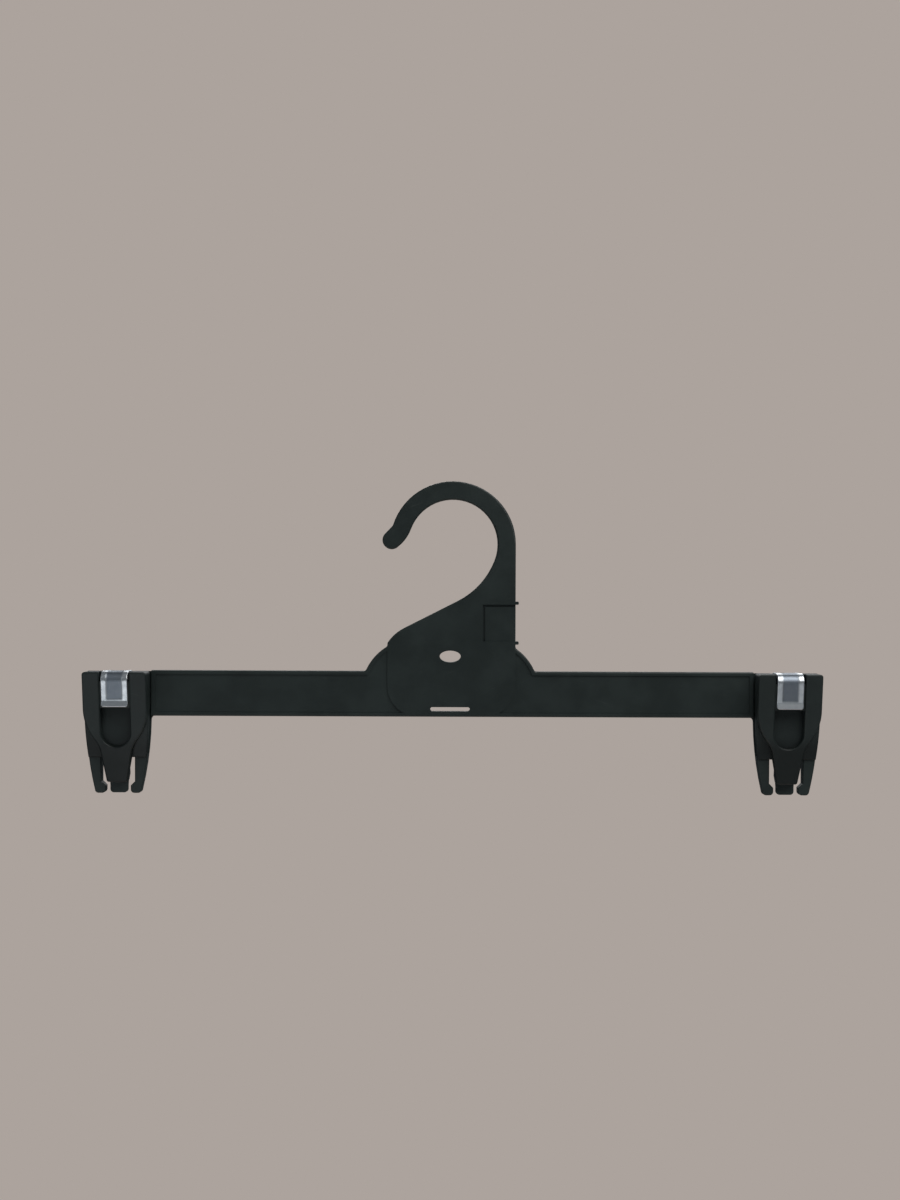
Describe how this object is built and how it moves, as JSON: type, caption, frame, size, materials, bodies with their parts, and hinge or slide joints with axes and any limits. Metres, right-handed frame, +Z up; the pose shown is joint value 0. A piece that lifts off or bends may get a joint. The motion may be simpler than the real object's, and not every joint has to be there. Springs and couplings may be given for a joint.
{
  "type": "clothes hanger",
  "caption": "One-piece moulded hanger with a flat hook, a straight bar and a sprung pinch clip at each end, for holding trousers or skirts by the waistband.",
  "frame": {"origin": "centre of the hook's round, on the mid-plane of the moulding", "axes": "+X along the bar to the right seen from the front, +Z up, +Y away from the front; the front jaws are on the -Y side"},
  "size_m": [0.35, 0.0168, 0.1498],
  "materials": {
    "moulded_plastic": "satin black moulding with a faint green cast",
    "spring_steel": "bright rolled strip"
  },
  "bodies": {
    "hanger_body": {"hanger_body": "moulded_plastic", "left_spring": "spring_steel", "right_spring": "spring_steel"},
    "left_jaw": {"left_front_jaw": "moulded_plastic"},
    "right_jaw": {"right_front_jaw": "moulded_plastic"}
  },
  "joints": [
    {"name": "left_clip", "type": "hinge", "parent": "hanger_body", "child": "left_jaw", "pos_m": [-0.1598, -0.0004, -0.0719], "axis": [-1, 0, 0], "range_deg": [0, 12], "stiffness_Nm_per_rad": 0.6, "springref_deg": -20.05, "deforming": ["left_spring"]},
    {"name": "right_clip", "type": "hinge", "parent": "hanger_body", "child": "right_jaw", "pos_m": [0.1598, -0.0004, -0.0719], "axis": [-1, 0, 0], "range_deg": [0, 12], "stiffness_Nm_per_rad": 0.6, "springref_deg": -20.05, "deforming": ["right_spring"]}
  ]
}
